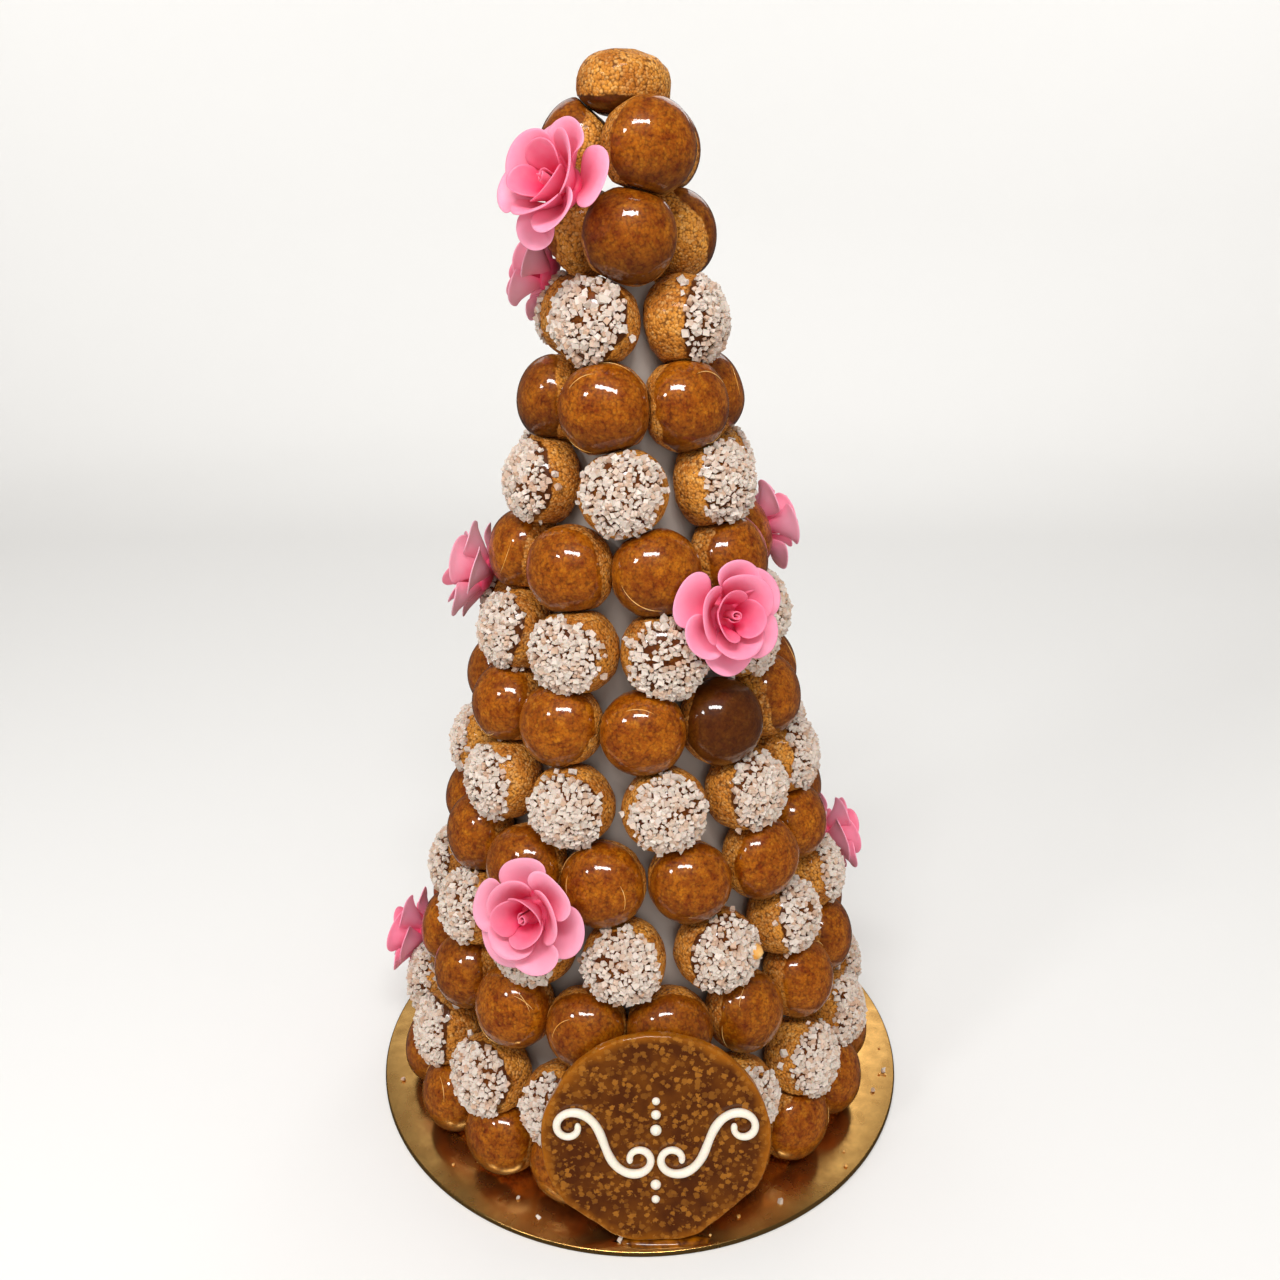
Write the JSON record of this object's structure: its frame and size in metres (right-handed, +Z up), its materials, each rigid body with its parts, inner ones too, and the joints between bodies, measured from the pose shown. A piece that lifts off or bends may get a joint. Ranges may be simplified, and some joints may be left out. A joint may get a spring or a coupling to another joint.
{
  "type": "croquembouche",
  "caption": "Tall cone of filled choux buns, caramel-glazed and pearl-sugared rows by turns, with sugar roses and a round nougatine plaque, on a gold cake board.",
  "frame": {"origin": "middle of the board's underside, where it rests", "axes": "+Z up the cone, -Y towards the front with the nougatine disc, +X to the right"},
  "size_m": [0.3, 0.3, 0.534],
  "materials": {
    "board_gold": "gold foil, satin",
    "cone_white": "matt off-white",
    "choux_crust": "crackled golden brown crust",
    "choux_caramel": "glossy amber caramel over crust",
    "choux_pearl_sugar": "pearl sugar grains over caramel",
    "rose_sugar": "satin pink sugar paste",
    "nougatine": "glossy dark caramel with chopped nuts",
    "icing": "satin white piped icing"
  },
  "bodies": {
    "root": {"board": "board_gold", "cone": "cone_white", "choux_row_01": "choux_caramel", "choux_row_02": "choux_pearl_sugar", "choux_row_03": "choux_caramel", "choux_row_04": "choux_pearl_sugar", "choux_row_05": "choux_caramel", "choux_row_06": "choux_pearl_sugar", "choux_row_07": "choux_caramel", "choux_row_08": "choux_pearl_sugar", "choux_row_09": "choux_caramel", "choux_row_10_1": "choux_pearl_sugar", "choux_row_10_2": "choux_pearl_sugar", "choux_row_10_3": "choux_pearl_sugar", "choux_row_10_4": "choux_pearl_sugar", "choux_row_10_5": "choux_pearl_sugar", "choux_row_10_6": "choux_pearl_sugar", "choux_row_11_1": "choux_caramel", "choux_row_11_2": "choux_caramel", "choux_row_11_3": "choux_caramel", "choux_row_11_4": "choux_caramel", "choux_row_11_5": "choux_caramel", "choux_row_11_6": "choux_caramel", "choux_row_12_1": "choux_pearl_sugar", "choux_row_12_2": "choux_pearl_sugar", "choux_row_12_3": "choux_pearl_sugar", "choux_row_12_4": "choux_pearl_sugar", "choux_row_13_1": "choux_caramel", "choux_row_13_2": "choux_caramel", "choux_row_13_3": "choux_caramel", "choux_row_14_1": "choux_caramel", "choux_row_14_2": "choux_caramel", "choux_row_14_3": "choux_caramel", "choux_top": "choux_crust", "rose_01": "rose_sugar", "rose_02": "rose_sugar", "rose_03": "rose_sugar", "rose_04": "rose_sugar", "rose_05": "rose_sugar", "rose_06": "rose_sugar", "rose_07": "rose_sugar", "rose_08": "rose_sugar", "rose_09": "rose_sugar", "rose_10": "rose_sugar", "rose_11": "rose_sugar", "nougatine_disc": "nougatine", "icing_scroll_left": "icing", "icing_scroll_right": "icing", "icing_dot_1": "icing", "icing_dot_2": "icing", "icing_dot_3": "icing", "icing_dot_4": "icing", "icing_dot_5": "icing"}
  },
  "joints": []
}
